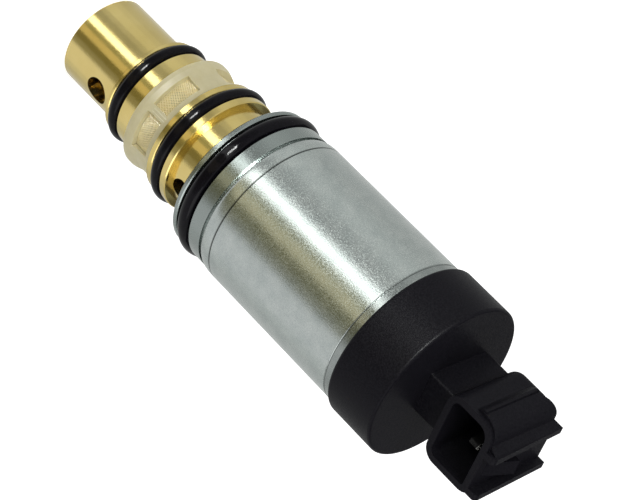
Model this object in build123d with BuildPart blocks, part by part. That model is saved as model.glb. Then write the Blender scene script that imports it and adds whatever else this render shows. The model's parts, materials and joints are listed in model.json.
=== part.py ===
from build123d import *
import math
import os

# Compressor control valve. Millimetres, Z up along the valve's axis, origin at
# the centre of the brass nose's end face. The connector's mouth faces -Y.

# Clearances
running_gap = 0.06          # radial gap of the sliding rod and plunger
push_gap = 0.03             # radial gap of pieces pushed or pressed together
ring_gap = 0.04             # between a rubber ring and its groove floor
end_gap = 0.1               # above the plunger when the coil is off
seat_gap = 0.05             # left between cone and seat when the valve is shut

# Brass valve body, turned in one piece
nose_radius = 7.68
nose_length = 12.0
collar_width = 0.7          # thin collar in front of the nose ring
collar_radius = 8.75        # collars of the nose ring, and the land behind them
nose_land_width = 3.55
filter_seat_step = 1.95      # the filter's seat lies this far below the middle collars
filter_width = 6.15
middle_collar_radius = 10.35
middle_front_width = 0.95
middle_back_width = 1.3
neck_step = 1.15            # the neck lies this far below the middle collars
neck_length = 5.1
spigot_radius = 7.2         # pressed into the steel flange
spigot_length = 4.85
body_edge = 0.15            # broken edge of the turned rims
nose_edge = 0.15

# Rubber rings and their grooves
small_cord = 1.9            # section of the two rings on the brass
nose_groove_depth = 1.4
nose_groove_width = 2.25
middle_groove_depth = 1.4
middle_groove_width = 2.15
flange_cord = 2.4
flange_groove_depth = 1.93
flange_groove_width = 3.0

# Drilled ports, turned a little from the connector's centre line
port_turn = 12.5
nose_port_radius = 2.2
nose_port_height = 8.3
neck_port_radius = 1.85
neck_port_height = 2.4      # above the neck's lower shoulder
filter_port_radius = 1.3

# Passages inside the body
chamber_radius = 5.6
chamber_depth = 17.0
seat_bore_radius = 2.2
neck_chamber_radius = 4.6
seat_height = 0.35          # seat above the neck's lower shoulder

# Filter: a moulded ring with paired windows, and the mesh behind them
filter_front_step = 0.21     # the filter's front ring stays this far under the middle collars
filter_face_step = 0.54      # the face with the windows lies this far below the front ring
filter_front_width = 0.8
filter_taper_length = 1.8
filter_edge = 0.15
window_height = 3.05
window_start = 1.75         # solid ring in front of the windows
window_angle = 40.0
window_rib_angle = 7.5      # narrow rib between the two windows of a pair
window_pairs = 3
filter_turn = -30.5         # first narrow rib, from the connector's centre line
mesh_depth = 0.62           # the mesh lies this far below the face with the windows
mesh_wall = 0.18
mesh_lap = 0.3              # the mesh reaches this far behind the end rings
mesh_columns = 5
mesh_rows = 4
mesh_gap_share = 0.42       # half diagonal of a gap, as a share of its cell

# Steel flange that closes the solenoid and carries its ring
flange_step = 0.24          # the ring's land lies this far below the case
flange_front_width = 0.9
flange_land_width = 2.53
flange_edge = 0.25
roll_groove_width = 0.4
roll_groove_depth = 0.72     # below the case's surface
roll_rise = 0.42            # the rounded band rises this much to the case
roll_round = 1.7            # length of the rounded rise to the case's radius
roll_width = 2.35

# Solenoid case and the plate that closes it
case_radius = 13.02
case_wall = 1.0
case_length = 26.5
case_spigot = 1.65          # the flange and the plate reach this far inside
plate_step = 0.04           # the plate's band lies this far below the case
plate_width = 2.15
plate_edge = 0.1

# Fixed core, guide sleeve and plunger
core_seat_radius = 6.4
core_seat_width = 2.5
sleeve_bore = 5.25
sleeve_wall = 0.4
stroke = 0.8
air_gap = 0.3               # left between core and plunger when pulled in
sleeve_stand = 1.5          # the sleeve's end stands this far above the plate
plunger_length = 14.9
plunger_edge = 0.3
pocket_radius = 3.0         # spring pockets in core and plunger
core_pocket_depth = 2.5
plunger_pocket_depth = 3.0
vent_radius = 0.7
vent_circle = 4.2           # radius of the circle of vent holes
vent_count = 2

# Valve rod
waist_radius = 1.15
stem_radius = 1.5
head_radius = 3.0
head_width = 1.2
guide_length = 4.9
rod_grip = 7.0              # length of the stem held in the plunger
rod_socket_radius = 1.25    # hollow in the rod's end for the capsule's stub
rod_socket_depth = 1.5

# Coil
bobbin_wall = 1.1
bobbin_cheek = 1.2          # thickness of the end cheeks
bobbin_gap = 0.7            # between the cheeks and the case
winding_drop = 0.7          # the winding ends this far inside the cheeks
post_half_width = 3.4       # post that carries the terminals through the plate
post_depth = 2.4

# Pressure capsule in the nose, and the plug that sets it
plug_start = 0.8
plug_length = 3.2
plug_hex = 3.0              # across the flats
plug_hex_depth = 1.6
capsule_radius = 4.4
capsule_plate = 0.8
capsule_height = 11.0
capsule_post_radius = 1.2
capsule_post_gap = 1.5
capsule_stub_length = 1.2
bellows_depth = 1.1
bellows_wall = 0.25
bellows_waves = 7

# Springs
plunger_spring_radius = 2.3
plunger_wire = 0.45
plunger_spring_turns = 5
capsule_spring_radius = 2.0
capsule_wire = 0.4
capsule_spring_turns = 6
wire_sides = 6

# Moulded cap
cap_wall = 0.66             # wall of the skirt that laps over the plate
cap_length = 9.27
cap_front_share = 0.9       # share of the skirt's wall that its rim is rounded over
cap_end_round = 0.45
cap_skirt = 0.8             # the cap laps over the plate by this much
cap_roof_gap = 0.3          # free height and side room over the sleeve's end

# Connector moulded on the cap
link_half_width = 3.7
link_front_y = -4.3
link_back_y = 7.5
link_height = 5.2
link_round = 0.5
shell_front_y = -6.2
shell_back_y = 7.2
shell_half_width = 6.3
shell_height = 9.0
shell_low_round = 2.3
shell_high_round = 3.0      # near top corner, which runs into the guard
shell_far_round = 1.5       # far top corner
shell_back_round = 1.3
shell_wall = 1.05
socket_depth = 11.6
band_depth = 0.5            # proud upper band on both flanks
band_start = 0.6
band_height = 5.5           # bottom of the band above the shell's underside
band_back_y = 4.7           # rear end of the band at its bottom edge
guard_centre_x = 1.7
guard_width = 8.2
guard_wall = 1.1
guard_height = 1.8
guard_fall = 0.5            # the guards get this much lower towards the back
guard_overhang = 1.5
guard_nose_round = 0.7      # round at the guards' front ends
guard_slope = 0.9           # the near guard's outer side spreads this much to its foot
guard_sink = 1.6
latch_width = 2.7
latch_start = 1.6
latch_end = 6.8

# Flat terminals
terminal_x = 2.25
terminal_height = 4.6       # of the blades above the shell's underside
terminal_thickness = 0.64
terminal_width = 2.3
terminal_tip_y = -2.0
terminal_point = 0.5        # length of the tapered tip
terminal_foot_y = 7.3
terminal_leg_y = 6.3
terminal_leg_width = 1.2
terminal_jog_start = 3.6    # above the plate
terminal_jog_height = 2.4

# Stations along the axis
nose_groove_front = nose_length + collar_width
nose_groove_back = nose_groove_front + nose_groove_width
filter_front = nose_groove_back + nose_land_width
filter_back = filter_front + filter_width
middle_groove_front = filter_back + middle_front_width
middle_groove_back = middle_groove_front + middle_groove_width
neck_bottom = middle_groove_back + middle_back_width
flange_front = neck_bottom + neck_length
spigot_top = flange_front + spigot_length
seat_z = neck_bottom + seat_height
flange_groove_front = flange_front + flange_front_width
flange_groove_back = flange_groove_front + flange_groove_width
roll_groove_front = flange_groove_back + flange_land_width
roll_front = roll_groove_front + roll_groove_width
case_front = roll_front + roll_width
case_back = case_front + case_length
plate_top = case_back + plate_width
cap_front = plate_top - cap_skirt
cap_end = cap_front + cap_length
shell_bottom = cap_end + link_height
shell_top = shell_bottom + shell_height
guard_top = shell_top + guard_height

# Radii that follow others
neck_radius = middle_collar_radius - neck_step
filter_seat_radius = middle_collar_radius - filter_seat_step
filter_front_radius = middle_collar_radius - filter_front_step
filter_radius = filter_front_radius - filter_face_step
mesh_radius = filter_radius - mesh_depth
nose_groove_floor = collar_radius - nose_groove_depth
middle_groove_floor = middle_collar_radius - middle_groove_depth
flange_radius = case_radius - flange_step
flange_groove_floor = flange_radius - flange_groove_depth
roll_groove_radius = case_radius - roll_groove_depth
roll_start_radius = case_radius - roll_rise
plate_radius = case_radius - plate_step
case_bore = case_radius - case_wall
cap_radius = plate_radius + push_gap + cap_wall
cap_front_round = cap_front_share * cap_wall
bobbin_radius = case_bore - bobbin_gap
winding_radius = bobbin_radius - winding_drop
sleeve_radius = sleeve_bore + sleeve_wall

# Stations inside
sleeve_top = plate_top + sleeve_stand
plunger_top = sleeve_top - sleeve_wall - end_gap
plunger_bottom = plunger_top - plunger_length
core_top = plunger_bottom - stroke - air_gap
bobbin_bottom = case_front + case_spigot
bobbin_top = case_back - case_spigot
plug_top = plug_start + plug_length
capsule_top = plug_top + capsule_height
window_low = filter_front + window_start
window_high = window_low + window_height
shell_centre_z = shell_bottom + shell_height / 2
terminal_z = shell_bottom + terminal_height
connector_azimuth = -90
port_azimuth = connector_azimuth + port_turn
rib_azimuth = connector_azimuth + filter_turn
pair_turn = (window_angle + window_rib_angle) / 2
window_azimuths = [
    rib_azimuth + pair * 360 / window_pairs + side * pair_turn
    for pair in range(window_pairs)
    for side in (-1, 1)
]


def radial_plane(azimuth, height):
    """A plane on the axis at a height, facing outward at an azimuth."""
    angle = math.radians(azimuth)
    return Plane(
        origin=(0, 0, height),
        x_dir=(-math.sin(angle), math.cos(angle), 0),
        z_dir=(math.cos(angle), math.sin(angle), 0),
    )


def rims(part, radius, *heights):
    """The circular edges of one radius at the given heights."""
    circles = part.edges().filter_by(GeomType.CIRCLE)
    return [
        edge
        for edge in circles
        if abs(edge.radius - radius) < 1e-4
        and min(abs(edge.arc_center.Z - height) for height in heights) < 1e-4
    ]


def coil_spring(radius, wire, low, high, turns):
    """An open coil of wire between two heights."""
    rise = high - low - wire
    with BuildPart() as spring:
        with BuildLine(Plane.XY.offset(low + wire / 2)):
            path = Helix(pitch=rise / turns, height=rise, radius=radius)
        with BuildSketch(Plane(origin=path @ 0, z_dir=path % 0)):
            RegularPolygon(wire / 2, wire_sides)
        sweep(path=path, is_frenet=True)
    return spring.part


os.makedirs("parts", exist_ok=True)

# Valve body: nose, collars, grooves, neck and spigot are one turned profile
with BuildPart() as valve_body:
    with BuildSketch(Plane.XZ):
        with BuildLine():
            Polyline(
                (0, 0),
                (nose_radius, 0),
                (nose_radius, nose_length),
                (collar_radius, nose_length),
                (collar_radius, nose_groove_front),
                (nose_groove_floor, nose_groove_front),
                (nose_groove_floor, nose_groove_back),
                (collar_radius, nose_groove_back),
                (collar_radius, filter_front),
                (filter_seat_radius, filter_front),
                (filter_seat_radius, filter_back),
                (middle_collar_radius, filter_back),
                (middle_collar_radius, middle_groove_front),
                (middle_groove_floor, middle_groove_front),
                (middle_groove_floor, middle_groove_back),
                (middle_collar_radius, middle_groove_back),
                (middle_collar_radius, neck_bottom),
                (neck_radius, neck_bottom),
                (neck_radius, flange_front),
                (spigot_radius, flange_front),
                (spigot_radius, spigot_top),
                (0, spigot_top),
                close=True,
            )
        make_face()
    revolve(axis=Axis.Z)
    chamfer(rims(valve_body.part, nose_radius, 0), nose_edge)
    chamfer(rims(valve_body.part, collar_radius, nose_length, nose_groove_front), body_edge)
    chamfer(rims(valve_body.part, collar_radius, nose_groove_back), body_edge)
    chamfer(rims(valve_body.part, middle_collar_radius, middle_groove_front), body_edge)
    chamfer(rims(valve_body.part, middle_collar_radius, middle_groove_back, neck_bottom), body_edge)
    for low, high, radius in (
        (0, chamber_depth, chamber_radius),
        (chamber_depth, seat_z, seat_bore_radius),
        (seat_z, spigot_top, neck_chamber_radius),
        (spigot_top - core_seat_width, spigot_top, core_seat_radius),
    ):
        with BuildSketch(Plane.XY.offset(low)):
            Circle(radius)
        extrude(amount=high - low, mode=Mode.SUBTRACT)
    for height, radius in (
        (nose_port_height, nose_port_radius),
        (neck_bottom + neck_port_height, neck_port_radius),
    ):
        with BuildSketch(radial_plane(port_azimuth, height)):
            Circle(radius)
        extrude(amount=middle_collar_radius, both=True, mode=Mode.SUBTRACT)
    for azimuth in window_azimuths:
        with BuildSketch(radial_plane(azimuth, (window_low + window_high) / 2)):
            Circle(filter_port_radius)
        extrude(amount=middle_collar_radius, mode=Mode.SUBTRACT)
valve_body.part.label = "valve_body"
export_step(valve_body.part, "parts/valve_body.step")

# Rubber rings, each resting just clear of its groove floor
for name, groove_floor, cord, low, high in (
    ("nose_o_ring", nose_groove_floor, small_cord, nose_groove_front, nose_groove_back),
    ("middle_o_ring", middle_groove_floor, small_cord, middle_groove_front, middle_groove_back),
    ("flange_o_ring", flange_groove_floor, flange_cord, flange_groove_front, flange_groove_back),
):
    with BuildPart() as seal_ring:
        with BuildSketch(Plane.XZ):
            with Locations((groove_floor + ring_gap + cord / 2, (low + high) / 2)):
                Circle(cord / 2)
        revolve(axis=Axis.Z)
    seal_ring.part.label = name
    export_step(seal_ring.part, f"parts/{name}.step")

# Filter frame: tapered outside, windows in pairs, and a recess that traps the mesh
frame_bore = filter_seat_radius + push_gap
mesh_low = window_low - mesh_lap
mesh_high = window_high + mesh_lap
mesh_recess = mesh_radius + push_gap
with BuildPart() as filter_frame:
    with BuildSketch(Plane.XZ):
        with BuildLine():
            Polyline(
                (frame_bore, filter_front),
                (filter_front_radius, filter_front),
                (filter_front_radius, filter_front + filter_front_width),
                (filter_radius, filter_front + filter_front_width + filter_taper_length),
                (filter_radius, filter_back),
                (frame_bore, filter_back),
                (frame_bore, mesh_high),
                (mesh_recess, mesh_high),
                (mesh_recess, mesh_low),
                (frame_bore, mesh_low),
                close=True,
            )
        make_face()
    revolve(axis=Axis.Z)
    fillet(rims(filter_frame.part, filter_front_radius, filter_front), filter_edge)
    fillet(rims(filter_frame.part, filter_radius, filter_back), filter_edge)
    half_window = filter_front_radius * math.tan(math.radians(window_angle / 2))
    for azimuth in window_azimuths:
        with BuildSketch(Plane.XY.offset(window_low).rotated((0, 0, azimuth))):
            Polygon(
                (0, 0),
                (filter_front_radius, -half_window),
                (filter_front_radius, half_window),
                align=None,
            )
        extrude(amount=window_height, mode=Mode.SUBTRACT)
filter_frame.part.label = "filter_frame"
export_step(filter_frame.part, "parts/filter_frame.step")

# Filter mesh: a thin sleeve with lozenge gaps where the windows are
cell_width = 2 * mesh_radius * math.sin(math.radians(window_angle / 2)) / mesh_columns
cell_height = window_height / mesh_rows
with BuildPart() as filter_mesh:
    with BuildSketch(Plane.XY.offset(mesh_low)):
        Circle(mesh_radius)
        Circle(mesh_radius - mesh_wall, mode=Mode.SUBTRACT)
    extrude(amount=mesh_high - mesh_low)
    for azimuth in window_azimuths:
        with BuildSketch(radial_plane(azimuth, (window_low + window_high) / 2)):
            with GridLocations(cell_width, cell_height, mesh_columns, mesh_rows):
                Polygon(
                    (-mesh_gap_share * cell_width, 0),
                    (0, -mesh_gap_share * cell_height),
                    (mesh_gap_share * cell_width, 0),
                    (0, mesh_gap_share * cell_height),
                    align=None,
                )
        extrude(amount=filter_front_radius, mode=Mode.SUBTRACT)
filter_mesh.part.label = "filter_mesh"
export_step(filter_mesh.part, "parts/filter_mesh.step")

# Steel flange: ring groove, narrow groove and the rounded band in front of the case
with BuildPart() as solenoid_flange:
    with BuildSketch(Plane.XZ):
        with BuildLine():
            Polyline(
                (spigot_radius + push_gap, flange_front),
                (flange_radius, flange_front),
                (flange_radius, flange_groove_front),
                (flange_groove_floor, flange_groove_front),
                (flange_groove_floor, flange_groove_back),
                (flange_radius, flange_groove_back),
                (flange_radius, roll_groove_front),
                (roll_groove_radius, roll_groove_front),
                (roll_groove_radius, roll_front),
                (roll_start_radius, roll_front),
            )
            EllipticalCenterArc(
                center=(roll_start_radius, roll_front + roll_round),
                x_radius=case_radius - roll_start_radius,
                y_radius=roll_round,
                start_angle=-90,
                arc_size=90,
            )
            Polyline(
                (case_radius, roll_front + roll_round),
                (case_radius, case_front),
                (case_bore - push_gap, case_front),
                (case_bore - push_gap, bobbin_bottom),
                (sleeve_radius + push_gap, bobbin_bottom),
                (sleeve_radius + push_gap, spigot_top),
                (spigot_radius + push_gap, spigot_top),
                (spigot_radius + push_gap, flange_front),
            )
        make_face()
    revolve(axis=Axis.Z)
    chamfer(rims(solenoid_flange.part, flange_radius, flange_front), flange_edge)
    chamfer(rims(solenoid_flange.part, flange_radius, flange_groove_front), body_edge)
    chamfer(rims(solenoid_flange.part, flange_radius, flange_groove_back), body_edge)
solenoid_flange.part.label = "solenoid_flange"
export_step(solenoid_flange.part, "parts/solenoid_flange.step")

# Solenoid case: a plain steel tube
with BuildPart() as solenoid_case:
    with BuildSketch(Plane.XY.offset(case_front)):
        Circle(case_radius)
        Circle(case_bore, mode=Mode.SUBTRACT)
    extrude(amount=case_length)
    chamfer(rims(solenoid_case.part, case_radius, case_front, case_back), plate_edge)
solenoid_case.part.label = "solenoid_case"
export_step(solenoid_case.part, "parts/solenoid_case.step")

# End plate: closes the case, with a window for the terminals' post
with BuildPart() as end_plate:
    with BuildSketch(Plane.XY.offset(bobbin_top)):
        Circle(case_bore - push_gap)
    extrude(amount=case_spigot)
    with BuildSketch(Plane.XY.offset(case_back)):
        Circle(plate_radius)
    extrude(amount=plate_width)
    chamfer(rims(end_plate.part, plate_radius, case_back), plate_edge)
    with BuildSketch(Plane.XY.offset(bobbin_top)):
        Circle(sleeve_radius + push_gap)
        with Locations((0, terminal_foot_y)):
            Rectangle(2 * (post_half_width + push_gap), post_depth + 2 * push_gap)
    extrude(amount=case_spigot + plate_width, mode=Mode.SUBTRACT)
end_plate.part.label = "end_plate"
export_step(end_plate.part, "parts/end_plate.step")

# Fixed core: its foot is held between the brass spigot and the flange
with BuildPart() as fixed_core:
    with BuildSketch(Plane.XY.offset(spigot_top - core_seat_width)):
        Circle(core_seat_radius - push_gap)
    extrude(amount=core_seat_width)
    with BuildSketch(Plane.XY.offset(spigot_top)):
        Circle(sleeve_bore - push_gap)
    extrude(amount=core_top - spigot_top)
    with BuildSketch(Plane.XY.offset(spigot_top - core_seat_width)):
        Circle(stem_radius + running_gap)
    extrude(amount=core_top - spigot_top + core_seat_width, mode=Mode.SUBTRACT)
    with BuildSketch(Plane.XY.offset(core_top - core_pocket_depth)):
        Circle(pocket_radius)
    extrude(amount=core_pocket_depth, mode=Mode.SUBTRACT)
fixed_core.part.label = "fixed_core"
export_step(fixed_core.part, "parts/fixed_core.step")

# Guide sleeve: a drawn cup that closes the armature's room
with BuildPart() as guide_sleeve:
    with BuildSketch(Plane.XY.offset(spigot_top)):
        Circle(sleeve_radius)
    extrude(amount=sleeve_top - spigot_top)
    fillet(rims(guide_sleeve.part, sleeve_radius, sleeve_top), sleeve_wall)
    with BuildSketch(Plane.XY.offset(spigot_top)):
        Circle(sleeve_bore)
    extrude(amount=sleeve_top - sleeve_wall - spigot_top, mode=Mode.SUBTRACT)
guide_sleeve.part.label = "guide_sleeve"
export_step(guide_sleeve.part, "parts/guide_sleeve.step")

# Plunger: spring pocket below, bore for the rod, and vent holes right through
with BuildPart() as plunger:
    with BuildSketch(Plane.XY.offset(plunger_bottom)):
        Circle(sleeve_bore - running_gap)
    extrude(amount=plunger_length)
    chamfer(
        rims(plunger.part, sleeve_bore - running_gap, plunger_bottom, plunger_top),
        plunger_edge,
    )
    with BuildSketch(Plane.XY.offset(plunger_bottom)):
        Circle(pocket_radius)
    extrude(amount=plunger_pocket_depth, mode=Mode.SUBTRACT)
    with BuildSketch(Plane.XY.offset(plunger_bottom)):
        Circle(stem_radius + push_gap)
    extrude(amount=plunger_pocket_depth + rod_grip, mode=Mode.SUBTRACT)
    with BuildSketch(Plane.XY.offset(plunger_bottom)):
        with PolarLocations(vent_circle, vent_count):
            Circle(vent_radius)
    extrude(amount=plunger_length, mode=Mode.SUBTRACT)
plunger.part.label = "plunger"
export_step(plunger.part, "parts/plunger.step")

# Valve rod: guide, waist through the seat, conical head and the long stem
cone_start = seat_z + stroke + seat_gap - (seat_bore_radius - waist_radius)
cone_end = cone_start + head_radius - waist_radius
rod_top = plunger_bottom + plunger_pocket_depth + rod_grip
with BuildPart() as valve_rod:
    with BuildSketch(Plane.XZ):
        with BuildLine():
            Polyline(
                (0, capsule_top + rod_socket_depth),
                (rod_socket_radius, capsule_top + rod_socket_depth),
                (rod_socket_radius, capsule_top),
                (seat_bore_radius - running_gap, capsule_top),
                (seat_bore_radius - running_gap, capsule_top + guide_length),
                (waist_radius, capsule_top + guide_length),
                (waist_radius, cone_start),
                (head_radius, cone_end),
                (head_radius, cone_end + head_width),
                (stem_radius, cone_end + head_width),
                (stem_radius, rod_top),
                (0, rod_top),
                close=True,
            )
        make_face()
    revolve(axis=Axis.Z)
valve_rod.part.label = "valve_rod"
export_step(valve_rod.part, "parts/valve_rod.step")

# Plunger spring, between the pockets of core and plunger
plunger_spring = coil_spring(
    plunger_spring_radius,
    plunger_wire,
    core_top - core_pocket_depth,
    plunger_bottom + plunger_pocket_depth,
    plunger_spring_turns,
)
plunger_spring.label = "plunger_spring"
export_step(plunger_spring, "parts/plunger_spring.step")

# Coil bobbin: tube, two cheeks and the post that carries the terminals
bobbin_bore = sleeve_radius + push_gap
with BuildPart() as coil_bobbin:
    with BuildSketch(Plane.XY.offset(bobbin_bottom)):
        Circle(bobbin_bore + bobbin_wall)
    extrude(amount=bobbin_top - bobbin_bottom)
    for low in (bobbin_bottom, bobbin_top - bobbin_cheek):
        with BuildSketch(Plane.XY.offset(low)):
            Circle(bobbin_radius)
        extrude(amount=bobbin_cheek)
    with BuildSketch(Plane.XY.offset(bobbin_top)):
        with Locations((0, terminal_foot_y)):
            Rectangle(2 * post_half_width, post_depth)
    extrude(amount=plate_top - bobbin_top)
    with BuildSketch(Plane.XY.offset(bobbin_bottom)):
        Circle(bobbin_bore)
    extrude(amount=plate_top - bobbin_bottom, mode=Mode.SUBTRACT)
    with BuildSketch(Plane.XY.offset(bobbin_top)):
        with Locations((-terminal_x, terminal_foot_y), (terminal_x, terminal_foot_y)):
            Rectangle(terminal_thickness, terminal_leg_width)
    extrude(amount=plate_top - bobbin_top, mode=Mode.SUBTRACT)
coil_bobbin.part.label = "coil_bobbin"
export_step(coil_bobbin.part, "parts/coil_bobbin.step")

# Coil winding: the copper filling between the cheeks
with BuildPart() as coil_winding:
    with BuildSketch(Plane.XY.offset(bobbin_bottom + bobbin_cheek)):
        Circle(winding_radius)
        Circle(bobbin_bore + bobbin_wall + push_gap, mode=Mode.SUBTRACT)
    extrude(amount=bobbin_top - bobbin_bottom - 2 * bobbin_cheek)
coil_winding.part.label = "coil_winding"
export_step(coil_winding.part, "parts/coil_winding.step")

# End plug with a hexagon socket, which sets the capsule
with BuildPart() as end_plug:
    with BuildSketch(Plane.XY.offset(plug_start)):
        Circle(chamber_radius - push_gap)
    extrude(amount=plug_length)
    with BuildSketch(Plane.XY.offset(plug_start)):
        RegularPolygon(plug_hex / 2, 6, major_radius=False)
    extrude(amount=plug_hex_depth, mode=Mode.SUBTRACT)
end_plug.part.label = "end_plug"
export_step(end_plug.part, "parts/end_plug.step")

# Capsule base: plate on the plug, with a stop post inside the bellows
bellows_low = plug_top + capsule_plate
bellows_high = capsule_top - capsule_plate
with BuildPart() as capsule_base:
    with BuildSketch(Plane.XY.offset(plug_top)):
        Circle(capsule_radius)
    extrude(amount=capsule_plate)
    with BuildSketch(Plane.XY.offset(bellows_low)):
        Circle(capsule_post_radius)
    extrude(amount=bellows_high - bellows_low - capsule_post_gap)
capsule_base.part.label = "capsule_base"
export_step(capsule_base.part, "parts/capsule_base.step")

# Capsule head: plate on the bellows, with a stub in the rod's socket
with BuildPart() as capsule_head:
    with BuildSketch(Plane.XY.offset(bellows_high)):
        Circle(capsule_radius)
    extrude(amount=capsule_plate)
    with BuildSketch(Plane.XY.offset(capsule_top)):
        Circle(rod_socket_radius - push_gap)
    extrude(amount=capsule_stub_length)
capsule_head.part.label = "capsule_head"
export_step(capsule_head.part, "parts/capsule_head.step")

# Bellows: a thin pleated wall between the two plates
half_wave = (bellows_high - bellows_low) / (2 * bellows_waves)
crests = [
    (capsule_radius - (step % 2) * bellows_depth, bellows_low + step * half_wave)
    for step in range(2 * bellows_waves + 1)
]
inner_crests = [(radius - bellows_wall, height) for radius, height in reversed(crests)]
with BuildPart() as bellows:
    with BuildSketch(Plane.XZ):
        with BuildLine():
            Polyline(*crests, *inner_crests, close=True)
        make_face()
    revolve(axis=Axis.Z)
bellows.part.label = "bellows"
export_step(bellows.part, "parts/bellows.step")

# Capsule spring, inside the bellows
capsule_spring = coil_spring(
    capsule_spring_radius,
    capsule_wire,
    bellows_low,
    bellows_high,
    capsule_spring_turns,
)
capsule_spring.label = "capsule_spring"
export_step(capsule_spring, "parts/capsule_spring.step")

# Terminals: foot in the post, a jog, the leg up the link and the flat blade
jog_low = plate_top + terminal_jog_start
jog_high = jog_low + terminal_jog_height
half_leg = terminal_leg_width / 2
half_blade = terminal_width / 2
leg_back_y = terminal_leg_y + half_leg
leg_front_y = terminal_leg_y - half_leg


def terminal(centre_x):
    """One terminal: a stamped strip whose blade points out of the mouth."""
    with BuildPart() as strip:
        with BuildSketch(Plane.YZ.offset(centre_x - terminal_thickness / 2)):
            with BuildLine():
                Polyline(
                    (terminal_foot_y - half_leg, bobbin_top),
                    (terminal_foot_y + half_leg, bobbin_top),
                    (terminal_foot_y + half_leg, jog_low),
                    (leg_back_y, jog_high),
                    (leg_back_y, terminal_z + half_blade),
                    (terminal_tip_y, terminal_z + half_blade),
                    (terminal_tip_y, terminal_z - half_blade),
                    (leg_front_y, terminal_z - half_blade),
                    (leg_front_y, jog_high),
                    (terminal_foot_y - half_leg, jog_low),
                    close=True,
                )
            make_face()
        extrude(amount=terminal_thickness)
        tip = strip.faces().sort_by(Axis.Y)[0]
        chamfer(
            tip.edges(),
            length=terminal_thickness / 3,
            length2=terminal_point,
            reference=tip,
        )
    return strip.part


terminal_left = terminal(-terminal_x)
terminal_left.label = "terminal_left"
export_step(terminal_left, "parts/terminal_left.step")
terminal_right = terminal(terminal_x)
terminal_right.label = "terminal_right"
export_step(terminal_right, "parts/terminal_right.step")

# Connector cap: round cap, link and plug shell are one moulding
shell_depth = shell_back_y - shell_front_y
mouth_plane = Plane.XZ.offset(-shell_front_y)
socket_half_width = shell_half_width - shell_wall
socket_height = shell_height - 2 * shell_wall
guard_low_x = guard_centre_x - guard_width / 2
guard_back_y = shell_back_y + guard_overhang
guard_bottom = shell_top - guard_sink
band_bottom = shell_bottom + band_height

# Proud upper bands, cut from a wider copy of the shell's outline. The near band runs
# up into the guard's sloping side, and its rear end leans back to the guard's end.
with BuildPart() as upper_bands:
    with BuildSketch(mouth_plane.offset(-band_start)) as band_outline:
        with Locations((0, shell_centre_z)):
            Rectangle(2 * (shell_half_width + band_depth), shell_height)
        fillet(band_outline.vertices().group_by(Axis.Y)[-1].sort_by(Axis.X)[0], shell_high_round)
        fillet(band_outline.vertices().group_by(Axis.Y)[-1].sort_by(Axis.X)[-1], shell_far_round)
        Polygon(
            (guard_low_x - guard_slope, guard_bottom),
            (guard_low_x + guard_wall / 2, guard_bottom),
            (guard_low_x + guard_wall / 2, guard_top - guard_fall),
            (guard_low_x, guard_top - guard_fall),
            (guard_low_x - guard_slope, shell_top),
            align=None,
        )
        with Locations((0, shell_bottom + band_height / 2)):
            Rectangle(3 * shell_half_width, band_height, mode=Mode.SUBTRACT)
    extrude(amount=-(guard_back_y - shell_front_y - band_start))
    with BuildSketch(Plane.YZ.offset(-2 * shell_half_width)):
        Polygon(
            (band_back_y, band_bottom),
            (guard_back_y, guard_top - guard_fall),
            (guard_back_y + guard_wall, guard_top - guard_fall),
            (guard_back_y + guard_wall, band_bottom),
            align=None,
        )
    extrude(amount=4 * shell_half_width, mode=Mode.SUBTRACT)

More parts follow.
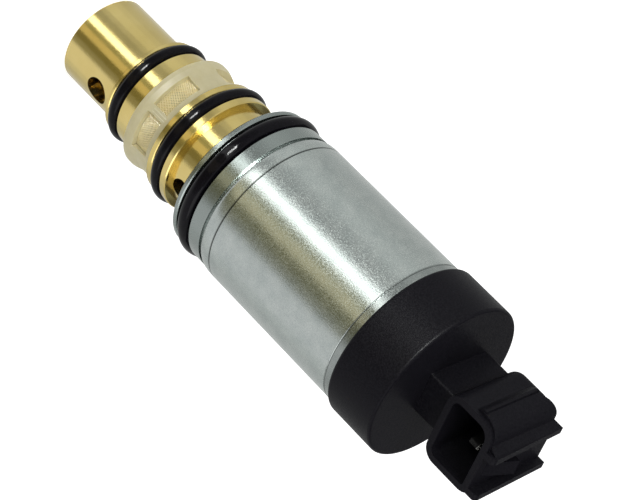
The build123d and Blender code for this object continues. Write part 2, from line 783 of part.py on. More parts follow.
with BuildPart() as connector_cap:
    with BuildSketch(mouth_plane) as shell_outline:
        with Locations((0, shell_centre_z)):
            Rectangle(2 * shell_half_width, shell_height)
        fillet(shell_outline.vertices().group_by(Axis.Y)[0], shell_low_round)
        fillet(shell_outline.vertices().group_by(Axis.Y)[-1].sort_by(Axis.X)[0], shell_high_round)
        fillet(shell_outline.vertices().group_by(Axis.Y)[-1].sort_by(Axis.X)[-1], shell_far_round)
    extrude(amount=-shell_depth)
    fillet(connector_cap.faces().sort_by(Axis.Y)[-1].edges(), shell_back_round)

    add(upper_bands.part)

    # Latch guards, and the latch ramp between them
    with BuildSketch(Plane.YZ.offset(guard_low_x)) as guard_outline:
        Polygon(
            (shell_front_y, guard_bottom),
            (guard_back_y, guard_bottom),
            (guard_back_y, guard_top - guard_fall),
            (shell_front_y, guard_top),
            align=None,
        )
        fillet(guard_outline.vertices().sort_by(Axis.Z)[-1], guard_nose_round)
    extrude(amount=guard_width)
    with BuildSketch(Plane.YZ.offset(guard_low_x + guard_wall)):
        Polygon(
            (shell_front_y - guard_wall, shell_top),
            (guard_back_y + guard_wall, shell_top),
            (guard_back_y + guard_wall, guard_top + guard_height),
            (shell_front_y - guard_wall, guard_top + guard_height),
            align=None,
        )
    extrude(amount=guard_width - 2 * guard_wall, mode=Mode.SUBTRACT)
    with BuildSketch(Plane.YZ.offset(guard_centre_x - latch_width / 2)):
        Polygon(
            (shell_front_y + latch_start, guard_bottom),
            (shell_front_y + latch_end, guard_bottom),
            (shell_front_y + latch_end, guard_top),
            (shell_front_y + latch_start, shell_top),
            align=None,
        )
    extrude(amount=latch_width)

    # Link between the shell and the cap
    with BuildSketch(Plane.XY.offset(cap_end)) as link_outline:
        with Locations((0, (link_front_y + link_back_y) / 2)):
            Rectangle(2 * link_half_width, link_back_y - link_front_y)
        fillet(link_outline.vertices(), link_round)
    extrude(amount=link_height + shell_wall)

    # Round cap
    with BuildSketch(Plane.XY.offset(cap_front)):
        Circle(cap_radius)
    extrude(amount=cap_length)
    fillet(rims(connector_cap.part, cap_radius, cap_end), cap_end_round)
    with BuildSketch(Plane.XY.offset(cap_front)):
        Circle(plate_radius + push_gap)
    extrude(amount=cap_skirt, mode=Mode.SUBTRACT)
    with BuildSketch(Plane.XY.offset(plate_top)):
        Circle(sleeve_radius + cap_roof_gap)
    extrude(amount=sleeve_top + cap_roof_gap - plate_top, mode=Mode.SUBTRACT)
    fillet(rims(connector_cap.part, cap_radius, cap_front), cap_front_round)

    # Socket, open at the mouth
    with BuildSketch(mouth_plane) as socket_outline:
        with Locations((0, shell_centre_z)):
            Rectangle(2 * socket_half_width, socket_height)
        fillet(socket_outline.vertices().group_by(Axis.Y)[0], shell_low_round - shell_wall)
        near_top = socket_outline.vertices().group_by(Axis.Y)[-1].sort_by(Axis.X)[0]
        fillet(near_top, shell_high_round - shell_wall)
        far_top = socket_outline.vertices().group_by(Axis.Y)[-1].sort_by(Axis.X)[-1]
        fillet(far_top, shell_far_round - shell_wall)
    extrude(amount=-socket_depth, mode=Mode.SUBTRACT)

    # Pockets that the moulding forms around the terminals
    add(terminal_left, mode=Mode.SUBTRACT)
    add(terminal_right, mode=Mode.SUBTRACT)
connector_cap.part.label = "connector_cap"
export_step(connector_cap.part, "parts/connector_cap.step")
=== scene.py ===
# %% [markdown]
# # A compressor control valve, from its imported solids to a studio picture
# The valve's solids come from the CAD frame and keep their places. This script gives
# every one of them a finish, adds the small things that solids leave out, and sets up
# the camera and the studio. Each step says what the real piece is, how it could be
# made, and why it is made this way.

# %% Load the frame and note the size of the solids
import bmesh
import bpy
import json
import math
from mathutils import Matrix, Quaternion, Vector


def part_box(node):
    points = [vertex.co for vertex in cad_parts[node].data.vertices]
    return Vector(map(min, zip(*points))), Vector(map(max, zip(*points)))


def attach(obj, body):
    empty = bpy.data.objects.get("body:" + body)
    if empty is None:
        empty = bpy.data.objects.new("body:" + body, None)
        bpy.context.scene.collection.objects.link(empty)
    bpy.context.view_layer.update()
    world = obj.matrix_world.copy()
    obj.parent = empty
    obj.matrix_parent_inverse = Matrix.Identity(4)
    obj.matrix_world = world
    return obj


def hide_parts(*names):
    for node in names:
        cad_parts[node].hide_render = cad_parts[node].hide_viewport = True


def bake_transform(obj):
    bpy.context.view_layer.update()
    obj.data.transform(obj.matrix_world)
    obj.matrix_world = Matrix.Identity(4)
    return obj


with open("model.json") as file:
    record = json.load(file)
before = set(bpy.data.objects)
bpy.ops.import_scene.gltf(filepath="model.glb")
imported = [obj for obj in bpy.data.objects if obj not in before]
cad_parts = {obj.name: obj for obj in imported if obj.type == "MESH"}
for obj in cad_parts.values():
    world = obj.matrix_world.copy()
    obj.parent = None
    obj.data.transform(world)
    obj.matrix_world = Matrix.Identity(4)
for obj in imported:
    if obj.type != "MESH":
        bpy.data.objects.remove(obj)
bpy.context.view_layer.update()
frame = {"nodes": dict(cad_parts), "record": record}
nodes = frame["nodes"]
mm = 0.001
print("solids:", len(nodes), "pieces")

# %% [markdown]
# ## The camera
# The valve stands on its nose in its own frame, and the photograph looks down at it
# from the side of the socket, with the picture rolled so that the nose points to the
# upper left. A long lens from a third of a metre gives the same mild perspective.
# The place is written as a distance, two angles and a roll about the line of sight,
# because those are the values that a photographer would set.

# %% Place the camera
photo_width_px = 625
focal_px = 2500
camera_distance = 365.36 * mm
camera_azimuth = math.radians(-42.5)
camera_elevation = math.radians(26.245)
camera_roll = math.radians(135.4)
camera_aim = Vector((-0.1, 0.1, 51.1)) * mm
sensor_width_mm = 36
nearest_seen = 0.01
farthest_seen = 20


def direction(azimuth, elevation):
    """The way from the valve to a place round it, from that place's two angles."""
    return Vector((
        math.sin(azimuth) * math.cos(elevation),
        -math.cos(azimuth) * math.cos(elevation),
        math.sin(elevation),
    ))


towards_camera = direction(camera_azimuth, camera_elevation)
camera_data = bpy.data.cameras.new("photo_camera")
camera_data.sensor_width = sensor_width_mm
camera_data.lens = focal_px / photo_width_px * sensor_width_mm
camera_data.clip_start = nearest_seen
camera_data.clip_end = farthest_seen
camera = bpy.data.objects.new("photo_camera", camera_data)
camera.rotation_mode = "QUATERNION"
camera.location = camera_aim + towards_camera * camera_distance
level_view = (-towards_camera).to_track_quat("-Z", "Y")
camera.rotation_quaternion = level_view @ Quaternion((0, 0, 1), camera_roll)
bpy.context.scene.collection.objects.link(camera)
bpy.context.scene.camera = camera
print("camera:", round(camera_data.lens, 1), "mm lens")

# %% [markdown]
# ## Small helpers for materials
# A material is a tree of nodes, and most of the lines that build one only make a node,
# set its values and link it. A few helpers keep those lines short. The values that are
# the same all over a surface go straight on the shader's own sockets.

# %% Helpers for node trees
def add_node(tree, kind, settings=None, values=None):
    """A node of the given kind, with its settings and its socket values."""
    node = tree.nodes.new(kind)
    for name, value in (settings or {}).items():
        setattr(node, name, value)
    for name, value in (values or {}).items():
        node.inputs[name].default_value = value
    return node


def new_group(name, inputs, outputs):
    """An empty shader group with named inputs and outputs, and its two end nodes."""
    group = bpy.data.node_groups.new(name, "ShaderNodeTree")
    for socket_name, socket_type, value in inputs:
        socket = group.interface.new_socket(socket_name, in_out="INPUT", socket_type=socket_type)
        socket.default_value = value
    for socket_name, socket_type in outputs:
        group.interface.new_socket(socket_name, in_out="OUTPUT", socket_type=socket_type)
    return group, group.nodes.new("NodeGroupInput"), group.nodes.new("NodeGroupOutput")


def new_surface(name, color, metallic, roughness, more=None):
    """A material with one Principled shader, returned with its tree and its shader."""
    material = bpy.data.materials.new(name)
    material.use_nodes = True
    tree = material.node_tree
    shader = tree.nodes["Principled BSDF"]
    shader.inputs["Base Color"].default_value = (*color, 1)
    shader.inputs["Metallic"].default_value = metallic
    shader.inputs["Roughness"].default_value = roughness
    for socket_name, value in (more or {}).items():
        shader.inputs[socket_name].default_value = value
    return material, tree, shader


def place_group(tree, group, values):
    """A shader group placed in a material, with that material's own values."""
    node = tree.nodes.new("ShaderNodeGroup")
    node.node_tree = group
    for socket_name, value in values.items():
        node.inputs[socket_name].default_value = value
    return node


def add_bump(tree, shader, height, distance):
    """A bump from a height socket into the shader's normal."""
    bump = add_node(tree, "ShaderNodeBump", values={"Distance": distance})
    tree.links.new(height, bump.inputs["Height"])
    tree.links.new(bump.outputs["Normal"], shader.inputs["Normal"])
    return bump


print("helpers: add_node, new_group, new_surface, place_group, add_bump")

# %% [markdown]
# ## Turning marks
# A lathe leaves fine rings round the axis: along a shaft they follow each other in Z,
# and across a flat end they follow each other outwards. One number that grows both
# ways, the height plus the distance from the axis, serves both, and a noise along it
# gives rings of uneven depth. Several metals here are turned, so it is a shader group.

# %% Shader group: rings left by the lathe
ring_scale = 1.0
band_scale = 0.08


def make_turning_group():
    """Single rings for the bump, and bands of many rings for the gloss."""
    group, inside, outside = new_group(
        "turning_marks",
        [("Rings per mm", "NodeSocketFloat", 6.0)],
        [("Height", "NodeSocketFloat"), ("Band", "NodeSocketFloat")],
    )
    link = group.links.new
    place = add_node(group, "ShaderNodeTexCoord")
    parts = add_node(group, "ShaderNodeSeparateXYZ")
    flat = add_node(group, "ShaderNodeVectorMath", {"operation": "MULTIPLY"}, {1: (1, 1, 0)})
    radius = add_node(group, "ShaderNodeVectorMath", {"operation": "LENGTH"})
    travel = add_node(group, "ShaderNodeMath", {"operation": "ADD"})
    rings = add_node(group, "ShaderNodeMath", {"operation": "MULTIPLY"})
    in_mm = add_node(group, "ShaderNodeMath", {"operation": "MULTIPLY"}, {1: 1 / mm})
    along = {"noise_dimensions": "1D"}
    fine = add_node(group, "ShaderNodeTexNoise", along, {"Scale": ring_scale, "Detail": 3.0})
    wide = add_node(group, "ShaderNodeTexNoise", along, {"Scale": band_scale, "Detail": 2.0})
    link(place.outputs["Object"], parts.inputs[0])
    link(place.outputs["Object"], flat.inputs[0])
    link(flat.outputs["Vector"], radius.inputs[0])
    link(parts.outputs["Z"], travel.inputs[0])
    link(radius.outputs["Value"], travel.inputs[1])
    link(travel.outputs[0], in_mm.inputs[0])
    link(in_mm.outputs[0], rings.inputs[0])
    link(inside.outputs["Rings per mm"], rings.inputs[1])
    link(rings.outputs[0], fine.inputs["W"])
    link(rings.outputs[0], wide.inputs["W"])
    link(fine.outputs["Fac"], outside.inputs["Height"])
    link(wide.outputs["Fac"], outside.inputs["Band"])
    return group


turning_marks = make_turning_group()
print("group:", turning_marks.name)

# %% [markdown]
# ## Blotches
# Plating, moulded plastic and rubber are never one even tone. A slow noise on the
# object's own coordinates gives soft clouds, and a quick one gives fine specks. Both
# are values from 0 to 1 that a material mixes between two of its own colours.

# %% Shader group: clouds and specks
noise_low = 0.32
noise_high = 0.68


def make_blotch_group():
    """Two noises, slow and quick, spread over 0 to 1 and steepened by a contrast."""
    group, inside, outside = new_group(
        "blotches",
        [
            ("Cloud size mm", "NodeSocketFloat", 6.0),
            ("Speck size mm", "NodeSocketFloat", 0.4),
            ("Contrast", "NodeSocketFloat", 1.0),
        ],
        [("Cloud", "NodeSocketFloat"), ("Speck", "NodeSocketFloat")],
    )
    link = group.links.new
    place = add_node(group, "ShaderNodeTexCoord")
    two_noises = (("Cloud size mm", "Cloud", 3.0), ("Speck size mm", "Speck", 1.0))
    for socket_name, out_name, detail in two_noises:
        scale = add_node(group, "ShaderNodeMath", {"operation": "DIVIDE"}, {0: 1 / mm})
        noise = add_node(group, "ShaderNodeTexNoise", values={"Detail": detail, "Roughness": 0.55})
        spread = add_node(group, "ShaderNodeMapRange", {"clamp": True}, {
            "From Min": noise_low, "From Max": noise_high,
        })
        centred = add_node(group, "ShaderNodeMath", {"operation": "SUBTRACT"}, {1: 0.5})
        stretched = add_node(group, "ShaderNodeMath", {"operation": "MULTIPLY"})
        result = add_node(
            group, "ShaderNodeMath", {"operation": "ADD", "use_clamp": True}, {1: 0.5}
        )
        link(inside.outputs[socket_name], scale.inputs[1])
        link(scale.outputs[0], noise.inputs["Scale"])
        link(place.outputs["Object"], noise.inputs["Vector"])
        link(noise.outputs["Fac"], spread.inputs["Value"])
        link(spread.outputs["Result"], centred.inputs[0])
        link(centred.outputs[0], stretched.inputs[0])
        link(inside.outputs["Contrast"], stretched.inputs[1])
        link(stretched.outputs[0], result.inputs[0])
        link(result.outputs[0], outside.inputs[out_name])
    return group


blotches = make_blotch_group()
print("group:", blotches.name)

# %% [markdown]
# ## Masks
# A mask is a value from 0 to 1 over the surface. A material turns it into a colour or a
# roughness, and multiplies colours where one layer lies over another. The valve is
# turned about its axis, so a mask by height marks a ring all the way round.

# %% Helpers: colours and numbers that follow a mask
def mix_colors(tree, mask, low_color, high_color):
    """A colour between two, chosen by a mask from 0 to 1."""
    mix = add_node(tree, "ShaderNodeMix", {"data_type": "RGBA"})
    mix.inputs["A"].default_value = (*low_color, 1)
    mix.inputs["B"].default_value = (*high_color, 1)
    tree.links.new(mask, mix.inputs["Factor"])
    return mix.outputs["Result"]


def mix_values(tree, mask, low, high):
    """A number between two, chosen by a mask from 0 to 1."""
    spread = add_node(tree, "ShaderNodeMapRange", values={"To Min": low, "To Max": high})
    tree.links.new(mask, spread.inputs["Value"])
    return spread.outputs["Result"]


def multiply_colors(tree, lower, upper):
    """One colour seen through another that lies over it."""
    layers = add_node(tree, "ShaderNodeMix", {"data_type": "RGBA", "blend_type": "MULTIPLY"})
    layers.inputs["Factor"].default_value = 1.0
    tree.links.new(lower, layers.inputs["A"])
    tree.links.new(upper, layers.inputs["B"])
    return layers.outputs["Result"]


def place_blotches(tree, cloud_mm, speck_mm, contrast):
    """The clouds and specks of one finish, by their sizes."""
    values = {"Cloud size mm": cloud_mm, "Speck size mm": speck_mm, "Contrast": contrast}
    return place_group(tree, blotches, values)


def mask_by_height(tree, start, end):
    """A mask that goes from 0 to 1 between two heights on the valve."""
    place = add_node(tree, "ShaderNodeTexCoord")
    parts = add_node(tree, "ShaderNodeSeparateXYZ")
    rise = add_node(tree, "ShaderNodeMapRange", values={"From Min": start, "From Max": end})
    tree.links.new(place.outputs["Object"], parts.inputs[0])
    tree.links.new(parts.outputs["Z"], rise.inputs["Value"])
    return rise.outputs["Result"]


print("helpers: mix_colors, mix_values, multiply_colors, mask_by_height, place_blotches")

# %% [markdown]
# ## Brass
# The body and the plug are free-cutting brass straight from the lathe: a pale yellow
# metal, shiny, with fine rings that catch the light, a slight unevenness from handling,
# and slightly browner clouds.

# %% Material: turned brass
brass_average = (0.62, 0.50, 0.19)
brass_roughness = 0.14
brass_yellow = (0.65, 0.525, 0.215)
brass_brown = (0.58, 0.455, 0.165)
brass_rings_per_mm = 4.5
brass_ring_depth = 0.009 * mm
handling_depth = 0.003 * mm


def make_brass():
    """Brass with the lathe's rings and a slight unevenness from handling."""
    material, tree, shader = new_surface(
        "turned_brass", brass_average, metallic=1.0, roughness=brass_roughness
    )
    marks = place_group(tree, turning_marks, {"Rings per mm": brass_rings_per_mm})
    tone = place_blotches(tree, cloud_mm=7.0, speck_mm=0.3, contrast=0.8)
    color = mix_colors(tree, tone.outputs["Cloud"], brass_yellow, brass_brown)
    gloss = mix_values(tree, marks.outputs["Band"], low=0.11, high=0.19)
    tree.links.new(color, shader.inputs["Base Color"])
    tree.links.new(gloss, shader.inputs["Roughness"])
    rings = add_bump(tree, shader, marks.outputs["Height"], brass_ring_depth)
    handling = add_node(tree, "ShaderNodeBump", values={"Distance": handling_depth})
    tree.links.new(tone.outputs["Speck"], handling.inputs["Height"])
    tree.links.new(handling.outputs["Normal"], rings.inputs["Normal"])
    return material


turned_brass = make_brass()
print("material:", turned_brass.name)

# %% [markdown]
# ## Zinc-plated steel
# The flange, the case and the end plate are steel with a thin zinc plating. It is
# greyer than bare steel, has a faint green cast, and its crystals break a reflection
# into small soft grains, so it needs a fine bump as well as clouds in colour. A thin
# dark line of painted shade is drawn in the seams between the three, round each.

# %% Shader group: painted shade in a seam between two turned pieces
# The dark line in each seam is painted shade, not a colour of the plating.
seam_shade_reach = 0.08 * mm
seam_shade_end = 0.2 * mm
usual_seam_light = 0.3


def make_seam_group():
    """1 away from a seam and less beside a seam at one height: painted shade in the gap."""
    group, inside, outside = new_group(
        "seam_shade",
        [
            ("Seam height", "NodeSocketFloat", 0.0),
            ("Light in seam", "NodeSocketFloat", usual_seam_light),
        ],
        [("Seam light", "NodeSocketFloat")],
    )
    link = group.links.new
    place = add_node(group, "ShaderNodeTexCoord")
    parts = add_node(group, "ShaderNodeSeparateXYZ")
    above = add_node(group, "ShaderNodeMath", {"operation": "SUBTRACT"})
    away = add_node(group, "ShaderNodeMath", {"operation": "ABSOLUTE"})
    seam_shaded = add_node(group, "ShaderNodeMapRange", values={
        "From Min": seam_shade_reach, "From Max": seam_shade_end, "To Max": 1.0,
    })
    link(place.outputs["Object"], parts.inputs[0])
    link(parts.outputs["Z"], above.inputs[0])
    link(inside.outputs["Seam height"], above.inputs[1])
    link(above.outputs[0], away.inputs[0])
    link(away.outputs[0], seam_shaded.inputs["Value"])
    link(inside.outputs["Light in seam"], seam_shaded.inputs["To Min"])
    link(seam_shaded.outputs["Result"], outside.inputs["Seam light"])
    return group


seam_shade = make_seam_group()
case_low, case_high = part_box("solenoid_case")
# How much of the plating's colour each seam's painted shade keeps, front and back.
front_seam_light = 0.35
back_seam_light = 0.62
steel_seams = (
    (case_low[2], front_seam_light),
    (case_high[2], back_seam_light),
)
print("seams at", [round(height / mm, 2) for height, seam_level in steel_seams], "mm")

# %% [markdown]
# ## The plating itself
# Clouds make the tone uneven, and specks darken single crystals and bend the light a
# little. The end plate gets two darker colours of its own: painted shade, for the darker
# reflection on its band. The function gives back its tree and colour too, because the
# flange goes on from there.

# %% Material: zinc plating
zinc_dull = (0.39, 0.43, 0.42)
zinc_bright = (0.475, 0.51, 0.495)
# The end plate's darker colours are painted shade, for the darker reflection on its band.
plate_shaded_dull = (0.25, 0.275, 0.27)
plate_shaded_bright = (0.32, 0.345, 0.335)
dark_crystal = (0.80, 0.80, 0.81)
bright_crystal = (1.0, 1.0, 0.99)
crystal_depth = 0.0055 * mm
zinc_roughness = 0.26


def make_zinc(name, shaded, bright):
    """Plating between two tones, with crystals and with painted shade in the seams."""
    material, tree, shader = new_surface(name, shaded, metallic=1.0, roughness=zinc_roughness)
    tone = place_blotches(tree, cloud_mm=2.6, speck_mm=0.19, contrast=0.8)
    clouds = mix_colors(tree, tone.outputs["Cloud"], shaded, bright)
    specks = mix_colors(tree, tone.outputs["Speck"], dark_crystal, bright_crystal)
    color = multiply_colors(tree, clouds, specks)
    for height, seam_level in steel_seams:
        values = {"Seam height": height, "Light in seam": seam_level}
        seam = place_group(tree, seam_shade, values)
        color = multiply_colors(tree, color, seam.outputs["Seam light"])
    gloss = mix_values(tree, tone.outputs["Speck"], low=0.16, high=0.30)
    tree.links.new(color, shader.inputs["Base Color"])
    tree.links.new(gloss, shader.inputs["Roughness"])
    add_bump(tree, shader, tone.outputs["Speck"], crystal_depth)
    return material, tree, shader, color


zinc_plating = make_zinc("zinc_plating", zinc_dull, zinc_bright)[0]
plate_shaded_plating = make_zinc("plate_shaded_plating", plate_shaded_dull, plate_shaded_bright)[0]
print("materials:", zinc_plating.name, plate_shaded_plating.name)

# %% [markdown]
# ## The flange's shaded end
# The flange is plated as the case is, but its end beside the rubber ring is darker:
# painted shade between the ring and the rounded band. A mask by height keeps the shade
# below the rounded band.

# %% Material: the flange, with painted shade beside its ring
# Below this height the flange carries painted shade, between the ring and the rounded band.
shaded_land_top = 40.6 * mm
land_shade_fade = 0.15 * mm
land_shaded_zinc = (0.25, 0.28, 0.27)


def make_flange_zinc():
    """Plating with painted shade below the rounded band, beside the ring."""
    material, tree, shader, seam_shaded = make_zinc("flange_plating", zinc_dull, zinc_bright)
    above = mask_by_height(tree, shaded_land_top - land_shade_fade, shaded_land_top + land_shade_fade)
    mix = add_node(tree, "ShaderNodeMix", {"data_type": "RGBA"})
    mix.inputs["A"].default_value = (*land_shaded_zinc, 1)
    tree.links.new(above, mix.inputs["Factor"])
    tree.links.new(seam_shaded, mix.inputs["B"])
    tree.links.new(mix.outputs["Result"], shader.inputs["Base Color"])
    return material


flange_plating = make_flange_zinc()
print("material:", flange_plating.name)

# %% [markdown]
# ## Black rubber
# The rings are oiled when they are fitted, so they are deep black with a crisp
# highlight. A low specular level keeps the white surroundings from greying them, and
# a small strong card, set up with the studio, draws the highlight. A little speckle
# keeps the black from looking like plastic.

# %% Material: oiled rubber
polymer_ior = 1.5
rubber_average = (0.004, 0.0035, 0.005)
rubber_roughness = 0.2
rubber_dark = (0.003, 0.003, 0.004)
rubber_pale = (0.006, 0.005, 0.008)
rubber_grain_depth = 0.0012 * mm


def make_rubber():
    """Black rubber under a thin film of oil."""
    more = {"Specular IOR Level": 0.09, "IOR": polymer_ior}
    material, tree, shader = new_surface(
        "oiled_rubber", rubber_average, metallic=0.0, roughness=rubber_roughness, more=more
    )
    tone = place_blotches(tree, cloud_mm=2.5, speck_mm=0.25, contrast=1.0)
    color = mix_colors(tree, tone.outputs["Speck"], rubber_dark, rubber_pale)
    gloss = mix_values(tree, tone.outputs["Cloud"], low=0.055, high=0.095)
    tree.links.new(color, shader.inputs["Base Color"])
    tree.links.new(gloss, shader.inputs["Roughness"])
    add_bump(tree, shader, tone.outputs["Speck"], rubber_grain_depth)
    return material


oiled_rubber = make_rubber()
print("material:", oiled_rubber.name)

# %% [markdown]
# ## Black moulded plastic
# The cap is a glass-filled plastic from an eroded mould: matt, nearly black, with a
# fine even grain and a few paler specks of dust. The bobbin inside is the same kind
# of plastic in a lighter grey.

# %% Materials: black and grey plastic with a mould grain
mould_grain_depth = 0.008 * mm


def make_plastic(name, dark, pale, roughness):
    """Matt plastic between two tones, with the fine grain of an eroded mould."""
    more = {"Specular IOR Level": 0.045, "IOR": polymer_ior}
    material, tree, shader = new_surface(name, dark, metallic=0.0, roughness=roughness, more=more)
    tone = place_blotches(tree, cloud_mm=5.0, speck_mm=0.22, contrast=1.3)
    color = mix_colors(tree, tone.outputs["Speck"], dark, pale)
    gloss = mix_values(tree, tone.outputs["Speck"], low=roughness - 0.06, high=roughness + 0.08)
    tree.links.new(color, shader.inputs["Base Color"])
    tree.links.new(gloss, shader.inputs["Roughness"])
    add_bump(tree, shader, tone.outputs["Speck"], mould_grain_depth)
    return material


black_dark = (0.0056, 0.0052, 0.0078)
black_pale = (0.0094, 0.0089, 0.0121)
grey_dark = (0.035, 0.035, 0.036)
grey_pale = (0.045, 0.045, 0.046)
black_plastic = make_plastic("black_plastic", black_dark, black_pale, roughness=0.42)
bobbin_plastic = make_plastic("bobbin_plastic", grey_dark, grey_pale, roughness=0.5)
print("materials:", black_plastic.name, bobbin_plastic.name)

# %% [markdown]
# ## Filter nylon
# The filter is natural nylon: a cream colour that lets some light through.
# Subsurface scattering gives that soft look without making the thin walls as clear as
# glass. The woven threads are drawn and smooth, so they are glossier than the moulded
# ring, and the brass behind them warms their colour. Thin seams let more light through
# than the ring does and look paler.

# %% Materials: moulded, woven and seam nylon
scatter_reach = 0.5 * mm
scatter_by_color = (1.0, 0.9, 0.7)
nylon_grain_depth = 0.006 * mm


def make_nylon(name, pale, deep, roughness, specular, scatter):
    """Cream nylon between two tones, with its share of light that scatters inside."""
    more = {
        "Subsurface Weight": scatter,
        "Subsurface Scale": scatter_reach,
        "Subsurface Radius": scatter_by_color,
        "Specular IOR Level": specular,
        "IOR": polymer_ior,
    }
    material, tree, shader = new_surface(name, pale, metallic=0.0, roughness=roughness, more=more)
    tone = place_blotches(tree, cloud_mm=2.0, speck_mm=0.3, contrast=0.8)
    color = mix_colors(tree, tone.outputs["Cloud"], pale, deep)
    tree.links.new(color, shader.inputs["Base Color"])
    add_bump(tree, shader, tone.outputs["Speck"], nylon_grain_depth)
    return material


# Each nylon: pale tone, deep tone, roughness, specular level, share of scattered light.
nylons = {
    name: make_nylon(name, *look)
    for name, look in {
        "natural_nylon": ((0.66, 0.605, 0.385), (0.585, 0.525, 0.305), 0.4, 0.25, 0.5),
        "woven_nylon": ((0.95, 0.84, 0.46), (0.80, 0.68, 0.34), 0.2, 0.9, 0.0),
        "seam_nylon": ((0.88, 0.83, 0.62), (0.80, 0.75, 0.54), 0.25, 0.6, 0.3),
    }.items()
}
print("materials:", *nylons)

# %% [markdown]
# ## Inner metals
# Hidden pieces show only when the valve is taken apart, but each gets its real finish:
# turned steel for the core and plunger, ground steel for the rod, drawn wire for the
# springs, bronze foil for the bellows and enamelled copper for the winding. They
# differ in tone, gloss and the fineness of their tool marks, so one function makes
# them all.

# %% Materials: turned, ground and drawn metals
def make_metal(name, color, pale, roughness, rings_per_mm, depth):
    """A bare metal between two tones, with tool marks of a given fineness and depth."""
    material, tree, shader = new_surface(name, color, metallic=1.0, roughness=roughness)
    marks = place_group(tree, turning_marks, {"Rings per mm": rings_per_mm})
    tone = place_blotches(tree, cloud_mm=4.0, speck_mm=0.4, contrast=0.8)
    clouded = mix_colors(tree, tone.outputs["Cloud"], color, pale)
    gloss = mix_values(tree, marks.outputs["Band"], low=roughness * 0.8, high=roughness * 1.25)
    tree.links.new(clouded, shader.inputs["Base Color"])
    tree.links.new(gloss, shader.inputs["Roughness"])
    add_bump(tree, shader, marks.outputs["Height"], depth)
    return material


# Each metal: dark tone, pale tone, roughness, rings per mm, depth of the rings.
metals = {
    name: make_metal(name, *look)
    for name, look in {
        "turned_steel": ((0.42, 0.43, 0.44), (0.50, 0.51, 0.52), 0.3, 5.0, 0.003 * mm),
        "ground_steel": ((0.52, 0.53, 0.54), (0.58, 0.58, 0.59), 0.18, 12.0, 0.001 * mm),
        "drawn_steel": ((0.46, 0.46, 0.47), (0.52, 0.52, 0.53), 0.25, 3.0, 0.001 * mm),
        "spring_wire": ((0.34, 0.34, 0.35), (0.42, 0.42, 0.43), 0.25, 9.0, 0.001 * mm),
        "bronze_foil": ((0.52, 0.38, 0.17), (0.58, 0.43, 0.20), 0.25, 6.0, 0.001 * mm),
        "copper_wire": ((0.48, 0.16, 0.05), (0.55, 0.21, 0.07), 0.28, 4.0, 0.02 * mm),
    }.items()
}
print("inner metals:", *metals)

# %% [markdown]
# ## The blades' tin
# Only one edge of a blade keeps the tin's bright colour. The rest is painted shade, nearly
# black and not metallic, for the blade's side deep in the dark socket. A mask by height
# tells the two apart, and it runs downwards, from the bright edge to the shaded side.

# %% Material: the blades' tin, bright along one edge and painted shade elsewhere
bright_edge = 0.55 * mm
bright_fade = 0.1 * mm
tin_average = (0.62, 0.61, 0.57)
tin_roughness = 0.3
edge_tin = (0.80, 0.79, 0.75)
# The nearly black, dull rest of the blade is painted shade, for its side deep in the dark socket.
shaded_tin = (0.014, 0.014, 0.014)


def make_terminal_tin():
    """Tin that is bright along the blade's upper edge, and painted shade elsewhere."""
    more = {"Specular IOR Level": 0.1}
    material, tree, shader = new_surface(
        "terminal_tin", tin_average, metallic=1.0, roughness=tin_roughness, more=more
    )
    edge_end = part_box("terminal_left")[1][2] - bright_edge
    shaded = mask_by_height(tree, edge_end, edge_end - bright_fade)
    color = mix_colors(tree, shaded, edge_tin, shaded_tin)
    gloss = mix_values(tree, shaded, low=0.2, high=0.6)
    metallic = mix_values(tree, shaded, low=1.0, high=0.0)
    tree.links.new(color, shader.inputs["Base Color"])
    tree.links.new(gloss, shader.inputs["Roughness"])
    tree.links.new(metallic, shader.inputs["Metallic"])
    return material


terminal_tin = make_terminal_tin()
print("material:", terminal_tin.name)

# %% [markdown]
# ## Every piece gets its finish
# The record names a material slot for each node. The same names lead to the materials
# above, so no node is left out, and a new node with a known slot needs no new line.

# %% Give each node the material of its slot
finish_of_slot = {
    "brass": turned_brass,
    "bronze_foil": metals["bronze_foil"],
    "steel": metals["turned_steel"],
    "sleeve_steel": metals["drawn_steel"],
    "rod_steel": metals["ground_steel"],
    "spring_steel": metals["spring_wire"],
    "zinc_steel": zinc_plating,
    "copper_wire": metals["copper_wire"],
    "bobbin_plastic": bobbin_plastic,
    "black_plastic": black_plastic,
    "tinned_brass": terminal_tin,
    "black_rubber": oiled_rubber,
    "filter_plastic": nylons["natural_nylon"],
}
finish_of_node = {"solenoid_flange": flange_plating, "end_plate": plate_shaded_plating}
for entry in frame["record"]["subparts"]:
    slots = nodes[entry["node"]].data.materials
    slots.clear()
    slots.append(finish_of_node.get(entry["node"], finish_of_slot[entry["material_slot"]]))

# %% [markdown]
# ## The filter's weave
# Behind the six windows lies a fine nylon weave of threads that cross at a slant. The
# solid only has its coarse gaps. A thread is a short piece of a helix, so one helix is
# made, placed round the axis as often as there are threads, and again turned the other
# way. Geometry Nodes do that in one tree, with the sizes as named inputs.

# %% Geometry Nodes: a ring of crossing threads
thread_sides = 5
helix_steps = 96


